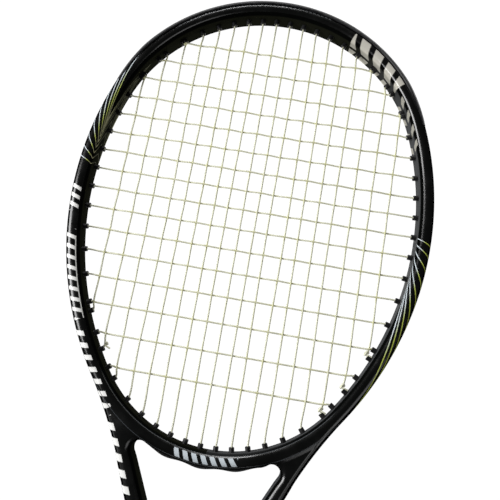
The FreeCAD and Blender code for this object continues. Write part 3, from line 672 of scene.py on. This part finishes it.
def knotMesh(name, centres):
    # each tie-off is a small trefoil pulled tight, with a cut tail
    bm = bmesh.new()
    for centre in centres:
        points = []
        for i in range(knot["turns"]):
            angle = 2 * math.pi * i / (knot["turns"] - 3)
            wide = knot["wide"] + knot["lobe"] * math.cos(1.5 * angle)
            tall = knot["tall"] * math.sin(1.5 * angle)
            points.append(centre + Vector((wide * math.cos(angle), tall, wide * math.sin(angle))))
        points += [points[-1] + Vector(step) * mm for step in knot["tail"]]
        tied = tubeAlong(points, name, 3)
        bm.from_mesh(tied.data)
        bpy.data.objects.remove(tied)
    return finish(bm, name)


# Head guard: a ridged skin round the outer half of the tip, with its barrels
guard = {
    "taper": 16.0, "steps": 110, "thinning": 0.85,
    "outside": [(6.9, 10.55), (6.95, 11.55), (7.6, 11.95), (8.6, 11.5), (9.35, 10.9), (9.7, 10.2), (10.35, 9.7),
                (10.75, 8.7), (10.6, 8.2), (11.05, 7.6), (11.05, 6.0), (10.65, 5.6), (10.65, 5.2),
                (11.05, 4.8), (11.05, 3.1), (10.8, 2.6), (7.8, 2.35), (7.6, 2.1)],
    "inside": [(6.9, -10.55), (8.2, -9.6), (9.2, -8.0), (9.5, -6.3), (9.5, -3.25), (6.75, -3.25)],
}
barrel = {"radius": 1.9 * mm, "bore": 1.35 * mm, "reach": 3.55 * mm, "root": 7.0 * mm, "lip": 0.35 * mm}


def spunStrip(profile, centre, radius, start, turn, steps):
    # a closed section in mm, outwards from the radius and up, spun round a centre
    bm = bmesh.new()
    outward = heading(start)
    corners = [bm.verts.new(centre + outward * (radius + p * mm) + up * q * mm) for p, q in profile]
    section = bm.faces.new(corners)
    bmesh.ops.spin(bm, geom=[section], cent=centre, axis=up, steps=steps, angle=math.radians(turn))
    return bm


def guardMesh():
    outside = guard["outside"] + [(p, -q) for p, q in reversed(guard["outside"])]
    inside = guard["inside"] + [(p, -q) for p, q in reversed(guard["inside"])][:-1]
    bm = spunStrip(outside + inside[1:], tipCentre, tipRadius, hoop["tipJoin"], 180 - 2 * hoop["tipJoin"],
                   guard["steps"])
    for vertex in bm.verts:
        thinGuard(vertex)
    for hole in stripHoles(tipRadius):
        addBarrel(bm, hole, -barrel["reach"], barrel["root"])
    return finish(bm, "headGuard")


def thinGuard(vertex):
    # towards its ends the guard thins out onto the frame
    offset = vertex.co - tipCentre
    flat = Vector((offset.x, offset.y, 0))
    fromEnd = math.degrees(math.atan2(offset.y, abs(offset.x))) - hoop["tipJoin"]
    share = min(1, max(0, fromEnd / guard["taper"]))
    core = Vector((min(max(flat.length - tipRadius, hoop["corner"]), tubeWidth - hoop["corner"]),
                   min(max(offset.z, hoop["corner"] - hoop["beam"] / 2), hoop["beam"] / 2 - hoop["corner"])))
    away = Vector((flat.length - tipRadius, offset.z)) - core
    proud = away.length - hoop["corner"]
    if proud > 0:
        pull = away.normalized() * proud * (1 - share) * guard["thinning"]
        vertex.co -= flat.normalized() * pull.x + up * pull.y


def stripHoles(radius):
    return [h for pair in mainHoles + crossHoles for h in pair if mouthArc(h["mouth"])[1] == radius]


def addBarrel(bm, hole, innerEnd, outerEnd):
    # a bored tube with a rounded mouth, along its hole
    turn = up.rotation_difference(hole["outward"]).to_matrix().to_4x4()
    place = Matrix.Translation(hole["mouth"]) @ turn
    rings = [(barrel["bore"], outerEnd), (barrel["radius"], outerEnd),
             (barrel["radius"], innerEnd + barrel["lip"]), (barrel["radius"] - barrel["lip"], innerEnd),
             (barrel["bore"], innerEnd + 0.1 * mm)]
    loops = []
    for radius, height in rings:
        circle = bmesh.ops.create_circle(bm, segments=14, radius=radius,
                                         matrix=place @ Matrix.Translation((0, 0, height)))
        loops.append(circle["verts"])
    for first, second in zip(loops, loops[1:] + loops[:1]):
        edges = [e for ring in (first, second) for e in {e for v in ring for e in v.link_edges}
                 if e.verts[0] in ring and e.verts[1] in ring]
        bmesh.ops.bridge_loops(bm, edges=edges)


def shade(piece, degrees=35):
    # smooth faces, with edges sharper than this kept crisp
    piece.data.polygons.foreach_set("use_smooth", [True] * len(piece.data.polygons))
    piece.data.set_sharp_from_angle(angle=math.radians(degrees))


def dress(piece, material, nodes, body="racket"):
    if piece.data.materials:
        piece.data.materials[0] = material
    else:
        piece.data.materials.append(material)
    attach(piece, body)
    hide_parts(*nodes)


def plasticMaterial(name, colour, roughness, grain=600, depth=0.03):
    # moulded plastic: fine grain, and lighter scuffs from handling
    material, tree, shader = newMaterial(name, colour, roughness)
    place = objectPlace(tree)
    speckle = noise(tree, place, grain, 3)
    scuff = noise(tree, place, 60, 4, 0.65)
    tint = tuple(min(1, c * 1.7 + 0.003) for c in colour)
    tree.links.new(mixColour(tree, ramp(tree, scuff, 0.4, 0.75), colour, tint), shader.inputs["Base Color"])
    tree.links.new(ramp(tree, scuff, 0.3, 0.7, roughness - 0.08, roughness + 0.14), shader.inputs["Roughness"])
    bump(tree, shader, speckle, depth * mm, 0.7)
    return material


shell = frameShell()
cutGroove(shell)
shell.data.materials.clear()
shell.data.materials.append(lacquerMaterial("frameLacquer", Coat_Weight=0.25, Coat_Roughness=0.1))
addSweepMap(shell)
shade(shell, 40)
dress(shell, shell.data.materials[0], nodes=("frame_tube", "throat_bridge"))
print("frame", len(shell.data.vertices))

stringLook = stringMaterial()
mains = stringCurve("mainStrings", mainHoles, mainCrossings, -strings["bedOffset"])
crosses = stringCurve("crossStrings", crossHoles, crossCrossings, strings["bedOffset"])
for piece, alongMain, node in ((mains, True, "main_strings"), (crosses, False, "cross_strings")):
    markCrossings(piece, alongMain)
    shade(piece, 60)
    dress(piece, stringLook, nodes=(node,))
tied = [mainHoles[n][0] for n in strings["knotted"]]
knots = knotMesh("tieOffKnots", [hole["mouth"] - hole["outward"] * strings["reach"]
                                 + Vector((0, strings["knotRise"], 0)) for hole in tied])
shade(knots, 60)
dress(knots, stringLook, nodes=("string_knots",))
print("strings", len(mains.data.polygons), len(crosses.data.polygons))

# Throat strip: spun under the bridge, with lips that swell over the string loops
throatStrip = {
    "halfAngle": math.degrees(math.asin(strings["bridgeReach"] / (lowRadius + tubeWidth))) - 0.5,
    "steps": 72, "waves": 3.6, "phase": 0.8, "middle": 0.2, "swell": 0.45, "endTaper": 0.14,
    "half": [(6.6, 3.2), (9.6, 3.2), (9.6, 6.2), (10.0, 6.6), (10.7, 6.5), (11.0, 6.0), (11.0, 2.6),
             (10.8, 2.4), (7.5, 2.4)],
}


def throatStripMesh():
    half = throatStrip["half"]
    profile = half + [(p, -q) for p, q in reversed(half)]
    span = throatStrip["halfAngle"]
    bm = spunStrip(profile, lowCentre, lowRadius, 270 - span, 2 * span, throatStrip["steps"])
    for vertex in bm.verts:
        offset = vertex.co - lowCentre
        flat = Vector((offset.x, offset.y, 0))
        proud = flat.length - lowRadius - tubeWidth
        if proud > 0.05 * mm:
            turn = math.atan2(offset.x, -offset.y) / math.radians(span)
            wave = math.cos(math.pi * throatStrip["waves"] * turn + throatStrip["phase"])
            fade = min(1, (1 - abs(turn)) / throatStrip["endTaper"])
            swollen = fade * (1 + throatStrip["swell"] * (wave - throatStrip["middle"]))
            vertex.co += flat.normalized() * proud * (swollen - 1)
    for hole in stripHoles(lowRadius):
        if abs(hole["mouth"].x) < strings["bridgeReach"]:
            addBarrel(bm, hole, -barrel["reach"], barrel["root"])
    return finish(bm, "throatStrip")


# Handle: octagonal sleeves made ring by ring, up the outside and back down the inside
handle = {
    "width": 15.0 * mm, "depth": 12.9 * mm, "bevelShare": 0.2, "cornerRound": 1.1 * mm,
    "gripStart": 7 * mm, "capEnd": 32 * mm, "shoulder": 45 * mm, "gripEnd": 190 * mm,
    "gripWall": 1.8 * mm, "capWall": 1.2 * mm, "footWidth": 17.2 * mm, "footDepth": 15.1 * mm,
    "wrapPitch": 25 * mm, "wrapRise": 0.42 * mm, "wrapOverlap": 0.16, "gripStep": 1.0 * mm,
    "perforation": 3.0 * mm, "wrapSink": 0.15 * mm, "seamStart": 0.985,
}
collar = {
    "start": 178 * mm, "shoulder": 196 * mm, "end": 211 * mm, "inside": 2.4 * mm, "wall": 1.5 * mm,
    "mouthWidth": 14.2 * mm, "mouthDepth": 12.3 * mm, "ribs": 4, "ribDepth": 0.5 * mm,
}


def octagonSleeve(rings):
    # each ring is (y, half width, half depth); the last joins the first
    y, width, depth = rings[0]
    cut = handle["bevelShare"] * (width + depth)
    bm = bmesh.new()
    corners = [(width, depth - cut), (width - cut, depth), (cut - width, depth), (-width, depth - cut),
               (-width, cut - depth), (cut - width, -depth), (width - cut, -depth), (width, cut - depth)]
    face = bm.faces.new([bm.verts.new((a, y, b)) for a, b in corners])
    bmesh.ops.bevel(bm, geom=bm.verts[:], offset=handle["cornerRound"], segments=3, profile=0.5,
                    affect="VERTICES", material=-1)
    bmesh.ops.subdivide_edges(bm, edges=[e for e in bm.edges if e.calc_length() > 4 * mm], cuts=3)
    bmesh.ops.delete(bm, geom=bm.faces[:], context="FACES_ONLY")
    first = loop = bm.edges[:]
    for nextY, nextWidth, nextDepth in rings[1:]:
        geometry = bmesh.ops.extrude_edge_only(bm, edges=loop)["geom"]
        verts = [g for g in geometry if isinstance(g, bmesh.types.BMVert)]
        for vertex in verts:
            vertex.co.x *= nextWidth / width
            vertex.co.z *= nextDepth / depth
            vertex.co.y = nextY
        added = set(verts)
        loop = [g for g in geometry if isinstance(g, bmesh.types.BMEdge)
                and g.verts[0] in added and g.verts[1] in added]
        width, depth = nextWidth, nextDepth
    bmesh.ops.bridge_loops(bm, edges=first + loop)
    return bm


def gripSize(y, wall):
    # outside of the grip's layer above the cap or the pallet, at a height up the handle
    if y < handle["capEnd"]:
        share = (y - handle["gripStart"]) / (handle["capEnd"] - handle["gripStart"])
        width = handle["footWidth"] + (handle["width"] + handle["capWall"] - handle["footWidth"]) * share
        depth = handle["footDepth"] + (handle["depth"] + handle["capWall"] - handle["footDepth"]) * share
    else:
        share = min(1, (y - handle["capEnd"]) / (handle["shoulder"] - handle["capEnd"]))
        width = handle["width"] + handle["capWall"] * (1 - share)
        depth = handle["depth"] + handle["capWall"] * (1 - share)
    return y, width + wall, depth + wall


def gripMesh():
    # the wrap: a spiral overlap that stands up from the sleeve, with a thin seam before it
    span = handle["gripEnd"] - handle["gripStart"]
    count = round(span / handle["gripStep"])
    wall = handle["gripWall"]
    heights = [handle["gripStart"] + span * i / count for i in range(count + 1)]
    outside = [gripSize(y, wall * (0.75 if i in (0, count) else 1)) for i, y in enumerate(heights)]
    inside = [gripSize(y, 0) for y in (handle["gripEnd"], handle["shoulder"], handle["capEnd"] + 0.1 * mm,
                                       handle["capEnd"], handle["gripStart"])]
    bm = octagonSleeve(outside + inside)
    for vertex in bm.verts:
        y = vertex.co.y
        _, width, depth = gripSize(y, wall * 0.6)
        across, above = abs(vertex.co.x), abs(vertex.co.z)
        bevel = (width + depth) * (1 - handle["bevelShare"])
        if across < width and above < depth and across + above < bevel:
            continue
        turn = math.atan2(vertex.co.z, vertex.co.x) / (2 * math.pi)
        phase = (y / handle["wrapPitch"] - turn) % 1
        overlap = handle["wrapOverlap"]
        if phase < overlap / 2:
            rise = math.sin(math.pi * phase / overlap)
        else:
            rise = max(0, 1 - (phase - overlap / 2) / overlap) ** 2
        if phase > handle["seamStart"]:
            rise -= 0.5
        grow = 1 + (rise * handle["wrapRise"] - handle["wrapSink"]) / width
        vertex.co.x *= grow
        vertex.co.z *= grow
    return finish(bm, "wrappedGrip")


def collarMesh():
    # a ribbed rubber sleeve that narrows to a lipped mouth round the shafts
    inner = collar["inside"]
    outer = inner + collar["wall"]

    def level(y, extra):
        return y, handle["width"] + extra, handle["depth"] + extra
    start, shoulder, end = collar["start"], collar["shoulder"], collar["end"]
    rings = [level(start, inner + 0.4 * mm), level(start + 0.15 * mm, outer - 0.35 * mm),
             level(start + 0.6 * mm, outer)]
    pitch = (shoulder - start - 3 * mm) / collar["ribs"]
    for number in range(collar["ribs"]):
        foot = start + 1.6 * mm + pitch * number
        for share, sink in ((0.45, 0), (0.55, 1), (0.85, 1), (0.95, 0)):
            rings.append(level(foot + pitch * share, outer - sink * collar["ribDepth"]))

    def mouth(below, extra):
        return end - below * mm, collar["mouthWidth"] + extra, collar["mouthDepth"] + extra
    wall = collar["wall"]
    rings += [level(shoulder, outer), mouth(0.8, wall + 0.25 * mm), mouth(0.1, wall - 0.4 * mm),
              mouth(0.1, 0.3 * mm), mouth(0.6, 0), level(shoulder, inner), level(start + 0.4 * mm, inner)]
    return finish(octagonSleeve(rings), "ribbedCollar")


def softened(node, name, width):
    # a copy of a plain moulded piece with its corners rounded
    bm = bmesh.new()
    bm.from_mesh(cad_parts[node].data)
    bmesh.ops.remove_doubles(bm, verts=bm.verts, dist=0.002 * mm)
    bmesh.ops.dissolve_limit(bm, angle_limit=math.radians(1), verts=bm.verts, edges=bm.edges)
    sharp = [e for e in bm.edges if len(e.link_faces) == 2 and e.calc_face_angle(0) > math.radians(25)]
    bmesh.ops.bevel(bm, geom=sharp, offset=width, segments=2, profile=0.5, affect="EDGES", material=-1,
                    clamp_overlap=True)
    return finish(bm, name)


def leatheretteMaterial():
    material, tree, shader = newMaterial("gripLeatherette", (0.012, 0.012, 0.013), 0.62, Sheen_Weight=0.15,
                                         Sheen_Roughness=0.5)
    place = objectPlace(tree)
    x, y, z = separate(tree, place)
    girthShare = calc(tree, "DIVIDE", calc(tree, "ARCTAN2", z, x), 2 * math.pi)
    joined = tree.nodes.new("ShaderNodeCombineXYZ")
    put(tree, joined.inputs[0], calc(tree, "MULTIPLY", girthShare, 30.0))
    put(tree, joined.inputs[1], calc(tree, "DIVIDE", y, handle["perforation"]))
    dots = tree.nodes.new("ShaderNodeTexVoronoi")
    dots.inputs["Scale"].default_value = 1.0
    dots.inputs["Randomness"].default_value = 0.0
    dots.voronoi_dimensions = "2D"
    put(tree, dots.inputs["Vector"], joined.outputs[0])
    hole = ramp(tree, dots.outputs["Distance"], 0.16, 0.24, 1.0, 0.0)
    grain = noise(tree, place, 1500, 4, 0.6)
    handling = noise(tree, place, 40, 3, 0.6)
    colour = mixColour(tree, ramp(tree, handling, 0.35, 0.7), (0.009, 0.009, 0.010), (0.024, 0.023, 0.022))
    # the perforations are painted near black, a painted shade inside each hole
    colour = mixColour(tree, hole, colour, (0.002, 0.002, 0.002))
    tree.links.new(colour, shader.inputs["Base Color"])
    tree.links.new(ramp(tree, handling, 0.3, 0.7, 0.5, 0.72), shader.inputs["Roughness"])
    bump(tree, shader, calc(tree, "SUBTRACT", calc(tree, "MULTIPLY", grain, 0.3), hole), 0.25 * mm)
    return material


def tapeMaterial():
    material, tree, shader = newMaterial("tapeBlack", (0.01, 0.01, 0.011), 0.25, Coat_Weight=0.3,
                                         Coat_Roughness=0.15)
    place = objectPlace(tree)
    crease = tree.nodes.new("ShaderNodeTexWave")
    crease.bands_direction = "Y"
    put(tree, crease.inputs["Vector"], place)
    for name, value in (("Scale", 60.0), ("Distortion", 9.0), ("Detail", 3.0), ("Detail Scale", 2.0)):
        crease.inputs[name].default_value = value
    stretch = noise(tree, place, 250, 3)
    colour = mixColour(tree, stretch, (0.008, 0.008, 0.009), (0.018, 0.018, 0.02))
    tree.links.new(colour, shader.inputs["Base Color"])
    bump(tree, shader, crease.outputs["Fac"], 0.08 * mm, 0.6)
    return material


def foamMaterial():
    material, tree, shader = newMaterial("palletFoam", (0.05, 0.05, 0.045), 0.85)
    place = objectPlace(tree)
    cells = tree.nodes.new("ShaderNodeTexVoronoi")
    put(tree, cells.inputs["Vector"], place)
    cells.inputs["Scale"].default_value = 1400
    tone = noise(tree, place, 90, 3)
    colour = mixColour(tree, tone, (0.035, 0.035, 0.032), (0.075, 0.072, 0.065))
    tree.links.new(colour, shader.inputs["Base Color"])
    bump(tree, shader, cells.outputs["Distance"], 0.1 * mm, 0.7)
    return material


def stapleMaterial():
    material, tree, shader = newMaterial("stapleSteel", (0.62, 0.61, 0.58), 0.3, Metallic=1.0)
    place = objectPlace(tree)
    drawn = noise(tree, place, 2500, 2)
    tree.links.new(mixColour(tree, drawn, (0.5, 0.49, 0.46), (0.72, 0.71, 0.69)), shader.inputs["Base Color"])
    tree.links.new(ramp(tree, drawn, 0.3, 0.7, 0.22, 0.42), shader.inputs["Roughness"])
    bump(tree, shader, drawn, 0.01 * mm, 0.5)
    return material


blackPlastic = plasticMaterial("grommetPlastic", (0.003, 0.003, 0.0032), 0.46)
guardPiece = guardMesh()
shade(guardPiece, 30)
dress(guardPiece, plasticMaterial("guardPlastic", (0.007, 0.007, 0.008), 0.36),
      nodes=("bumper_guard",))
strip = throatStripMesh()
shade(strip, 35)
dress(strip, blackPlastic, nodes=("throat_grommets",))
print("guard and strip", len(guardPiece.data.polygons), len(strip.data.polygons))

grip = gripMesh()
shade(grip, 38)
dress(grip, leatheretteMaterial(), nodes=("base_grip",))
ring = collarMesh()
shade(ring, 35)
dress(ring, plasticMaterial("collarRubber", (0.012, 0.012, 0.012), 0.6, 900, 0.05),
      nodes=("grip_collar",), body="collar")
capPlastic = plasticMaterial("capPlastic", (0.01, 0.01, 0.011), 0.4, 500, 0.05)
doorPlastic = plasticMaterial("doorPlastic", (0.014, 0.014, 0.015), 0.34, 800, 0.04)
for node, name, width, look, body, slot in (
        ("butt_cap", "buttCap", 0.5 * mm, capPlastic, "racket", "cap_plastic"),
        ("trap_door", "trapDoor", 0.3 * mm, doorPlastic, "door", "door_plastic"),
        ("butt_staples", "buttStaples", 0.25 * mm, stapleMaterial(), "racket", "staple_steel")):
    piece = softened(node, name, width)
    shade(piece, 30)
    dress(piece, look, (node,), body)
for node, look in (("left_grommets", blackPlastic), ("right_grommets", blackPlastic),
                   ("finishing_tape", tapeMaterial()), ("handle_pallet", foamMaterial())):
    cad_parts[node].data.materials.clear()
    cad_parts[node].data.materials.append(look)
print("handle", len(grip.data.polygons), len(ring.data.polygons))

# Camera: a little above the throat, tipped towards the tip
camera = {"x": 27.66 * mm, "belowWidest": 110.93 * mm, "height": 415.28 * mm,
          "tilt": (11.256, 1.226, 9.819), "lens": 42.12, "sensor": 36}
eye = bpy.data.objects.new("camera", bpy.data.cameras.new("camera"))
collection.objects.link(eye)
eye.location = (camera["x"], widestY - camera["belowWidest"], camera["height"])
eye.rotation_euler = [math.radians(a) for a in camera["tilt"]]
eye.data.lens = camera["lens"]
eye.data.sensor_width = camera["sensor"]
bpy.context.scene.camera = eye

# Studio: a glowing white table, dim surroundings, a broad light from the left and a strip at the tip
studio = {
    "world": 0.03, "glow": 1.0, "tableHalf": 4,
    "lamps": (("key", (-0.95, 0.45, 0.62), 14.0, 0.6), ("strip", (-0.25, 1.55, 0.55), 7.0, 0.4),
              ("fill", (0.9, -0.2, 0.9), 3.0, 0.8)),
}
bpy.context.scene.view_settings.view_transform = "Standard"
world = bpy.data.worlds.new("studio")
bpy.context.scene.world = world
world.use_nodes = True
worldTree = world.node_tree
backdrop = worldTree.nodes["Background"].inputs
backdrop["Color"].default_value = (1, 1, 1, 1)
seen = worldTree.nodes.new("ShaderNodeLightPath").outputs["Is Camera Ray"]
strength = calc(worldTree, "MULTIPLY_ADD", seen, 1 - studio["world"], studio["world"])
put(worldTree, backdrop["Strength"], strength)
for name, place, power, size in studio["lamps"]:
    lamp = bpy.data.objects.new(name, bpy.data.lights.new(name, "AREA"))
    collection.objects.link(lamp)
    lamp.data.energy = power
    lamp.data.size = size
    lamp.location = place
    target = Vector((0, widestY, 0)) - Vector(place)
    lamp.rotation_euler = target.to_track_quat("-Z", "Y").to_euler()
bm = bmesh.new()
bmesh.ops.create_grid(bm, x_segments=1, y_segments=1, size=studio["tableHalf"])
bmesh.ops.translate(bm, verts=bm.verts, vec=(0, 0, cadBox[0][2] - 0.5 * mm))
floor = finish(bm, "floor")
floorPaper = newMaterial("floorPaper", (0.06, 0.06, 0.06), 0.9, Specular_IOR_Level=0.0,
                         Emission_Color=(1, 1, 1, 1), Emission_Strength=studio["glow"])[0]
floor.data.materials.append(floorPaper)
print("studio", len(bpy.data.lights))
